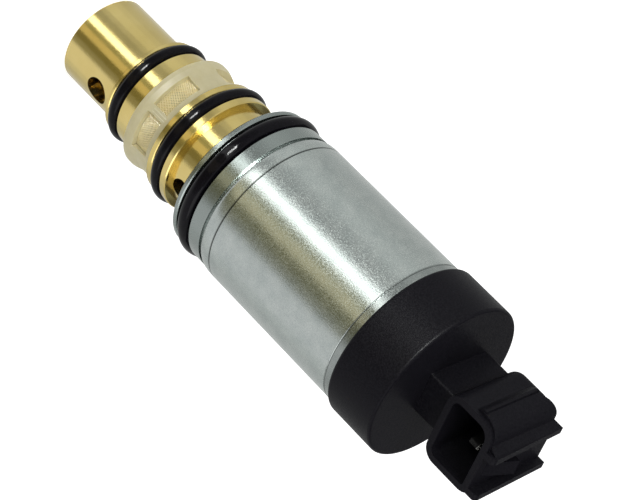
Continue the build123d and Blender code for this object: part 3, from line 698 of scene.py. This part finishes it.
def make_weave_tree():
    """A tree that stands two sets of helices round the axis and joins them to one mesh."""
    tree = bpy.data.node_groups.new("filter_weave", "GeometryNodeTree")
    sockets = tree.interface
    sockets.new_socket("Geometry", in_out="INPUT", socket_type="NodeSocketGeometry")
    sockets.new_socket("Threads", in_out="INPUT", socket_type="NodeSocketInt")
    for name in ("Ring radius", "Bottom", "Height", "Turns", "Thread radius"):
        sockets.new_socket(name, in_out="INPUT", socket_type="NodeSocketFloat")
    sockets.new_socket("Finish", in_out="INPUT", socket_type="NodeSocketMaterial")
    sockets.new_socket("Geometry", in_out="OUTPUT", socket_type="NodeSocketGeometry")
    link = tree.links.new
    inside = tree.nodes.new("NodeGroupInput").outputs
    outside = tree.nodes.new("NodeGroupOutput")
    places = add_node(tree, "GeometryNodePoints")
    number = add_node(tree, "GeometryNodeInputIndex")
    step = add_node(tree, "ShaderNodeMath", {"operation": "DIVIDE"}, {0: math.tau})
    angle = add_node(tree, "ShaderNodeMath", {"operation": "MULTIPLY"})
    turned = add_node(tree, "ShaderNodeCombineXYZ")
    profile = add_node(tree, "GeometryNodeCurvePrimitiveCircle")
    profile.inputs["Resolution"].default_value = thread_sides
    threads = add_node(tree, "GeometryNodeJoinGeometry")
    solid = add_node(tree, "GeometryNodeCurveToMesh")
    lift = add_node(tree, "ShaderNodeCombineXYZ")
    placed = add_node(tree, "GeometryNodeTransform")
    real = add_node(tree, "GeometryNodeRealizeInstances")
    finish = add_node(tree, "GeometryNodeSetMaterial")
    link(inside["Threads"], places.inputs["Count"])
    link(inside["Threads"], step.inputs[1])
    link(number.outputs[0], angle.inputs[0])
    link(step.outputs[0], angle.inputs[1])
    link(angle.outputs[0], turned.inputs["Z"])
    for leans_back in (False, True):
        helix = add_node(tree, "GeometryNodeCurveSpiral", values={
            "Resolution": helix_steps, "Reverse": leans_back,
        })
        round_axis = add_node(tree, "GeometryNodeInstanceOnPoints")
        link(inside["Turns"], helix.inputs["Rotations"])
        link(inside["Ring radius"], helix.inputs["Start Radius"])
        link(inside["Ring radius"], helix.inputs["End Radius"])
        link(inside["Height"], helix.inputs["Height"])
        link(places.outputs[0], round_axis.inputs["Points"])
        link(helix.outputs[0], round_axis.inputs["Instance"])
        link(turned.outputs[0], round_axis.inputs["Rotation"])
        link(round_axis.outputs[0], threads.inputs[0])
    link(inside["Thread radius"], profile.inputs["Radius"])
    link(threads.outputs[0], solid.inputs["Curve"])
    link(profile.outputs[0], solid.inputs["Profile Curve"])
    link(inside["Bottom"], lift.inputs["Z"])
    link(solid.outputs[0], placed.inputs["Geometry"])
    link(lift.outputs[0], placed.inputs["Translation"])
    link(placed.outputs[0], real.inputs[0])
    link(real.outputs[0], finish.inputs["Geometry"])
    link(inside["Finish"], finish.inputs["Material"])
    link(finish.outputs[0], outside.inputs[0])
    return tree


weave_tree = make_weave_tree()
print("tree:", weave_tree.name)

# %% [markdown]
# ## From a tree to a mesh
# A Geometry Nodes tree is a recipe, and its result is only there while a modifier runs
# it. The scene needs a plain mesh, so the tree is run once on an empty object and the
# result becomes that object's own mesh.

# %% Helper: a tree baked into a plain mesh
def bake_tree(tree, name, values):
    """Runs a Geometry Nodes tree with these inputs and keeps its result as a mesh object."""
    holder = bpy.data.objects.new(name, bpy.data.meshes.new(name + "_start"))
    bpy.context.scene.collection.objects.link(holder)
    modifier = holder.modifiers.new("tree", "NODES")
    modifier.node_group = tree
    for item in tree.interface.items_tree:
        if item.in_out == "INPUT" and item.name in values:
            modifier[item.identifier] = values[item.name]
    evaluated = holder.evaluated_get(bpy.context.evaluated_depsgraph_get())
    baked = bpy.data.meshes.new_from_object(evaluated)
    baked.name = name
    holder.modifiers.clear()
    holder.data = baked
    return holder


print("helper: bake_tree")

# %% [markdown]
# ## The weave in its place
# The height and the radius come from the box of the solid that the weave stands for.
# The slant sets how far a thread turns on its way up: at 45 degrees it goes as far
# round as it goes up.

# %% The weave takes the solid mesh's place
thread_radius = 0.075 * mm
thread_count = 150
thread_slant = math.radians(45)


def make_weave():
    """The weave, fitted into the box of the solid that it stands for."""
    low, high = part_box("filter_mesh")
    ring_radius = (high[0] - low[0]) / 2 - thread_radius
    height = high[2] - low[2] - 2 * thread_radius
    weave = bake_tree(weave_tree, "filter_weave", {
        "Threads": thread_count,
        "Ring radius": ring_radius,
        "Bottom": low[2] + thread_radius,
        "Height": height,
        "Turns": height / math.tan(thread_slant) / (math.tau * ring_radius),
        "Thread radius": thread_radius,
        "Finish": nylons["woven_nylon"],
    })
    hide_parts("filter_mesh")
    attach(weave, "housing")
    return weave


filter_weave = make_weave()
print("filter weave:", len(filter_weave.data.polygons), "faces")

# %% [markdown]
# ## Seams on the filter's narrow ribs
# The filter's ring is moulded between three slides, and each pair of slides leaves two
# fine raised lines on the narrow rib between its windows. They are strips that stand
# about a tenth of a millimetre proud of the rib's outer face, and are wider at the foot.

# %% Two fine seams on each narrow rib
seam_proud = 0.09 * mm
seam_width = 0.17 * mm
seam_spread = 0.5 * mm
seam_section = ((-1, -1), (-1, 1), (1, 0.5), (1, -0.5))
rib_radius = 9.6 * mm
rib_angles_deg = (-120.5, -0.5, 119.5)


def add_seam(points, faces, angle, bottom, top):
    """One upright strip at an angle round the axis, wider at its foot than outside."""
    out = Vector((math.cos(angle), math.sin(angle), 0))
    across = Vector((-out.y, out.x, 0))
    first = len(points)
    for height in (bottom, top):
        for reach, shift in seam_section:
            place = out * (rib_radius + reach * seam_proud) + across * shift * seam_width / 2
            points.append((place.x, place.y, height))
    corners = len(seam_section)
    lower = list(range(first, first + corners))
    upper = [index + corners for index in lower]
    faces.append(tuple(reversed(lower)))
    faces.append(tuple(upper))
    for corner in range(corners):
        following = (corner + 1) % corners
        faces.append((lower[corner], lower[following], upper[following], upper[corner]))


def make_seams():
    """All seams as one piece, as tall as the mesh behind the windows."""
    low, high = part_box("filter_mesh")
    half_spread = seam_spread / rib_radius / 2
    points = []
    faces = []
    for rib_deg in rib_angles_deg:
        for side in (-1, 1):
            angle = math.radians(rib_deg) + side * half_spread
            add_seam(points, faces, angle, low[2], high[2])
    mesh = bpy.data.meshes.new("rib_seams")
    mesh.from_pydata(points, [], faces)
    mesh.materials.append(nylons["seam_nylon"])
    seams = bpy.data.objects.new("rib_seams", mesh)
    bpy.context.scene.collection.objects.link(seams)
    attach(seams, "housing")
    return seams


rib_seams = make_seams()
print("rib seams:", len(rib_seams.data.polygons), "faces")

# %% [markdown]
# ## The ledge on the socket's near flank
# Below the socket's band the moulding has a low ledge, whose steep side faces the
# cap's end and shows as one dark line along the flank. Its other side slopes into the
# wall. It is one profile drawn out along Y, sunk a little into the wall it belongs to.

# %% A low ledge along the flank
ledge_front = -5.5 * mm
ledge_back = 5.6 * mm
ledge_profile = (
    (-6.15 * mm, 90.0 * mm),
    (-6.3 * mm, 90.0 * mm),
    (-7.05 * mm, 91.05 * mm),
    (-7.05 * mm, 91.55 * mm),
    (-6.15 * mm, 91.55 * mm),
)
ledge_rounding = 0.08 * mm


def make_ledge():
    """The profile drawn out between two ends, with its edges rounded."""
    corners = len(ledge_profile)
    points = [(x, y, z) for y in (ledge_front, ledge_back) for x, z in ledge_profile]
    faces = [tuple(range(corners)), tuple(reversed(range(corners, 2 * corners)))]
    for corner in range(corners):
        following = (corner + 1) % corners
        faces.append((following, corner, corner + corners, following + corners))
    mesh = bpy.data.meshes.new("flank_ledge")
    mesh.from_pydata(points, [], faces)
    form = bmesh.new()
    form.from_mesh(mesh)
    bmesh.ops.bevel(
        form, geom=form.edges[:], affect="EDGES",
        offset=ledge_rounding, segments=2, clamp_overlap=True,
    )
    bmesh.ops.recalc_face_normals(form, faces=form.faces[:])
    form.to_mesh(mesh)
    form.free()
    mesh.materials.append(black_plastic)
    ledge = bpy.data.objects.new("flank_ledge", mesh)
    bpy.context.scene.collection.objects.link(ledge)
    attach(ledge, "housing")
    return ledge


flank_ledge = make_ledge()
print("flank ledge:", len(flank_ledge.data.polygons), "faces")

# %% [markdown]
# ## Springs and bellows as welded copies
# When the coil pulls, the rod moves 0.8 mm and two springs and the bellows shorten
# with it. Their lower ends stay with the housing and their upper ends go with the rod.
# A copy of each solid stands for it, with its double points joined and its faces
# shaded smooth.

# %% Three pieces that shorten
weld_distance = 0.0005 * mm
sharp_angle = math.radians(40)


def make_flexing(node_name):
    """A welded, smooth-shaded copy of a spring or bellows, which takes the solid's place."""
    mesh = nodes[node_name].data.copy()
    mesh.name = node_name + "_flexing"
    form = bmesh.new()
    form.from_mesh(mesh)
    bmesh.ops.remove_doubles(form, verts=form.verts[:], dist=weld_distance)
    form.to_mesh(mesh)
    form.free()
    mesh.shade_smooth()
    mesh.set_sharp_from_angle(angle=sharp_angle)
    piece = bpy.data.objects.new(node_name + "_flexing", mesh)
    bpy.context.scene.collection.objects.link(piece)
    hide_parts(node_name)
    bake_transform(piece)
    return piece


flexing_nodes = {
    "plunger_spring": "spring_steel",
    "capsule_spring": "spring_steel",
    "bellows": "bronze_foil",
}
for flexing_name, flexing_slot in flexing_nodes.items():
    flexing_piece = make_flexing(flexing_name)
    print(flexing_piece.name, len(flexing_piece.data.polygons), "faces")

# %% [markdown]
# ## The studio
# The world is white where the camera or a reflection looks at it, and lights the valve
# at a plain level otherwise. Shiny metal looks like metal only if something darker is
# reflected in it, so grey, dark and warm cards stand round the valve, as a photographer
# would place them. They show only in reflections. A floor carries the valve's shadow.

# %% World: white background, plain ambient light
ambient_level = 0.55


def make_world():
    """White where it is looked at, and a plain level where it only lights the valve."""
    world = bpy.data.worlds.new("studio")
    world.use_nodes = True
    tree = world.node_tree
    tree.nodes.clear()
    path = add_node(tree, "ShaderNodeLightPath")
    seen = add_node(tree, "ShaderNodeMath", {"operation": "MAXIMUM"})
    seen_through = add_node(tree, "ShaderNodeMath", {"operation": "MAXIMUM"})
    level = add_node(tree, "ShaderNodeMapRange", values={"To Min": ambient_level, "To Max": 1.0})
    background = add_node(tree, "ShaderNodeBackground", values={"Color": (1, 1, 1, 1)})
    output = add_node(tree, "ShaderNodeOutputWorld")
    tree.links.new(path.outputs["Is Camera Ray"], seen.inputs[0])
    tree.links.new(path.outputs["Is Glossy Ray"], seen.inputs[1])
    tree.links.new(seen.outputs[0], seen_through.inputs[0])
    tree.links.new(path.outputs["Is Transmission Ray"], seen_through.inputs[1])
    tree.links.new(seen_through.outputs[0], level.inputs["Value"])
    tree.links.new(level.outputs["Result"], background.inputs["Strength"])
    tree.links.new(background.outputs["Background"], output.inputs["Surface"])
    return world


bpy.context.scene.world = make_world()
print("world: ambient", ambient_level)

# %% [markdown]
# ## The floor
# A sheet of paper under the valve takes its soft shadow. It glows a little for the
# camera alone, which makes it as pale as the photograph's ground without lighting the
# valve from below. It lies just under the nose, so that the two never touch. It
# doesn't show in reflections, because it would hide the cards' lower halves, and it is
# clear from below, so that the nose can be looked at from there.

# %% Floor: pale, with the object's shadow
floor_size = 3.0
floor_glow = 0.62
floor_gap = 0.05 * mm
paper_color = (0.8, 0.8, 0.8)


def make_floor():
    """A square of glowing paper that can be looked through from below."""
    mesh = bpy.data.meshes.new("floor")
    half = floor_size / 2
    corners = ((-half, -half), (half, -half), (half, half), (-half, half))
    mesh.from_pydata([(x, y, -floor_gap) for x, y in corners], [], [(0, 1, 2, 3)])
    floor = bpy.data.objects.new("floor", mesh)
    bpy.context.scene.collection.objects.link(floor)
    material = bpy.data.materials.new("floor_paper")
    material.use_nodes = True
    tree = material.node_tree
    tree.nodes.clear()
    path = add_node(tree, "ShaderNodeLightPath")
    glow_level = add_node(tree, "ShaderNodeMath", {"operation": "MULTIPLY"}, {1: floor_glow})
    glow = add_node(tree, "ShaderNodeEmission", values={"Color": (1, 1, 1, 1)})
    paper = add_node(tree, "ShaderNodeBsdfDiffuse", values={"Color": (*paper_color, 1)})
    both = add_node(tree, "ShaderNodeAddShader")
    side = add_node(tree, "ShaderNodeNewGeometry")
    clear = add_node(tree, "ShaderNodeBsdfTransparent")
    seen_side = add_node(tree, "ShaderNodeMixShader")
    output = add_node(tree, "ShaderNodeOutputMaterial")
    tree.links.new(path.outputs["Is Camera Ray"], glow_level.inputs[0])
    tree.links.new(glow_level.outputs[0], glow.inputs["Strength"])
    tree.links.new(glow.outputs[0], both.inputs[0])
    tree.links.new(paper.outputs[0], both.inputs[1])
    tree.links.new(side.outputs["Backfacing"], seen_side.inputs[0])
    tree.links.new(both.outputs[0], seen_side.inputs[1])
    tree.links.new(clear.outputs[0], seen_side.inputs[2])
    tree.links.new(seen_side.outputs[0], output.inputs["Surface"])
    mesh.materials.append(material)
    floor.visible_glossy = False
    floor.visible_shadow = False
    return floor


make_floor()
print("floor:", floor_size, "m wide")

# %% [markdown]
# ## Reflection cards
# A ray that leaves the camera and meets a side of the valve goes on to the other side
# of the camera, at twice the angle. So a card's place is written as the angle on the
# valve where its reflection shows, counted from the side that faces the camera.

# %% Reflection cards
card_distance = 0.42
card_bottom = -0.75
card_top = 0.9
card_steps = 8
facing_angle = math.atan2(towards_camera.y, towards_camera.x)


def add_card(
    name, start_deg, end_deg, color,
    bottom=card_bottom, top=card_top, distance=card_distance,
):
    """A curved card, seen on the valve between two angles and only in reflections."""
    points = []
    for step in range(card_steps + 1):
        on_valve = math.radians(start_deg + (end_deg - start_deg) * step / card_steps)
        angle = facing_angle + 2 * on_valve
        place = (distance * math.cos(angle), distance * math.sin(angle))
        points += [(*place, bottom), (*place, top)]
    faces = [(2 * i, 2 * i + 2, 2 * i + 3, 2 * i + 1) for i in range(card_steps)]
    mesh = bpy.data.meshes.new(name)
    mesh.from_pydata(points, [], faces)
    card = bpy.data.objects.new(name, mesh)
    bpy.context.scene.collection.objects.link(card)
    material = bpy.data.materials.new(name)
    material.use_nodes = True
    tree = material.node_tree
    tree.nodes.clear()
    glow = add_node(tree, "ShaderNodeEmission", values={"Color": (*color, 1), "Strength": 1.0})
    output = add_node(tree, "ShaderNodeOutputMaterial")
    tree.links.new(glow.outputs[0], output.inputs["Surface"])
    mesh.materials.append(material)
    card.visible_camera = False
    card.visible_diffuse = False
    card.visible_transmission = False
    card.visible_shadow = False
    return card


def grey(level):
    """A grey card's colour, with the faint green of the photograph's reflections."""
    return (level, level * 1.02, level)


# Each card: name, the two angles on the valve in degrees, colour.
side_level = 0.70
cards = (
    ("far_left_card", -85, -48, grey(side_level)),
    ("left_card", -48, -40, grey(0.79)),
    ("near_left_card", -40, -28, grey(0.87)),
    ("dim_card_left", -28, -22, grey(0.66)),
    ("dark_card_left", -22, -13, grey(0.50)),
    ("bright_card", -11, -3.4, grey(3.2)),
    ("shade_card", -3, 3, (0.42, 0.41, 0.26)),
    ("warm_card", 3, 11, (0.86, 0.76, 0.48)),
    ("dark_card_right", 11, 19, (0.25, 0.23, 0.12)),
    ("dim_card_right", 19, 25.5, (0.37, 0.36, 0.28)),
    ("near_right_card", 25.5, 28, grey(0.66)),
    ("right_card", 51, 59, grey(0.84)),
    ("far_right_card", 59, 85, grey(side_level)),
)
for card_name, card_start, card_end, card_color in cards:
    add_card(card_name, card_start, card_end, card_color)
print("cards:", len(cards))

# %% [markdown]
# ## The rings' highlights
# Oiled rubber mirrors only a small part of the light that meets it. A card must be far
# brighter than white to show on it as a crisp line, and small, so that the line stays
# thin.

# %% A small strong card for the rings' highlights
highlight_level = 130
highlight_bottom = 0.10
highlight_top = 0.30
add_card("highlight_card", -12, -4.5, grey(highlight_level), highlight_bottom, highlight_top)
print("highlight card:", highlight_top - highlight_bottom, "m tall")

# %% [markdown]
# ## The black cap's end
# The cap's end faces up and mirrors what stands behind the valve, well above the
# floor. With nothing there it would mirror the white world and turn grey, so a dark
# card stands behind it, a little nearer than the others.

# %% A dark card behind and above
high_card_level = 0.12
high_card_bottom = 0.16
high_card_top = 0.95
high_card_distance = 0.38
add_card(
    "high_dark_card", 66, 114, grey(high_card_level),
    high_card_bottom, high_card_top, high_card_distance,
)
print("high card: from", high_card_bottom, "to", high_card_top, "m")

# %% [markdown]
# ## Lamps
# The world gives most of the light. Three soft lamps add shape to it: the strongest
# from the left, one from the right and the weakest from behind. They are wide, so that
# their shadows have no hard edge.

# %% Soft lamps
lamp_distance = 0.9


def add_lamp(name, azimuth_deg, elevation_deg, size, watts):
    """A square soft lamp that points at the valve's middle."""
    towards = direction(math.radians(azimuth_deg), math.radians(elevation_deg))
    data = bpy.data.lights.new(name, "AREA")
    data.shape = "SQUARE"
    data.size = size
    data.energy = watts
    lamp = bpy.data.objects.new(name, data)
    lamp.rotation_mode = "QUATERNION"
    lamp.location = camera_aim + towards * lamp_distance
    lamp.rotation_quaternion = towards.to_track_quat("Z", "Y")
    bpy.context.scene.collection.objects.link(lamp)
    return lamp


# Each lamp: name, azimuth and elevation in degrees, width in metres, power in watts.
lamps = (
    ("key_lamp", -75, 40, 0.35, 2.2),
    ("fill_lamp", 40, 45, 0.5, 1.2),
    ("back_lamp", 170, 35, 0.5, 1.0),
)
for lamp_values in lamps:
    add_lamp(*lamp_values)
print("lamps:", len(lamps))

# %% [markdown]
# The standard view keeps the colours as they are set. Nothing that is added may make
# the valve larger.

bpy.context.scene.view_settings.view_transform = "Standard"
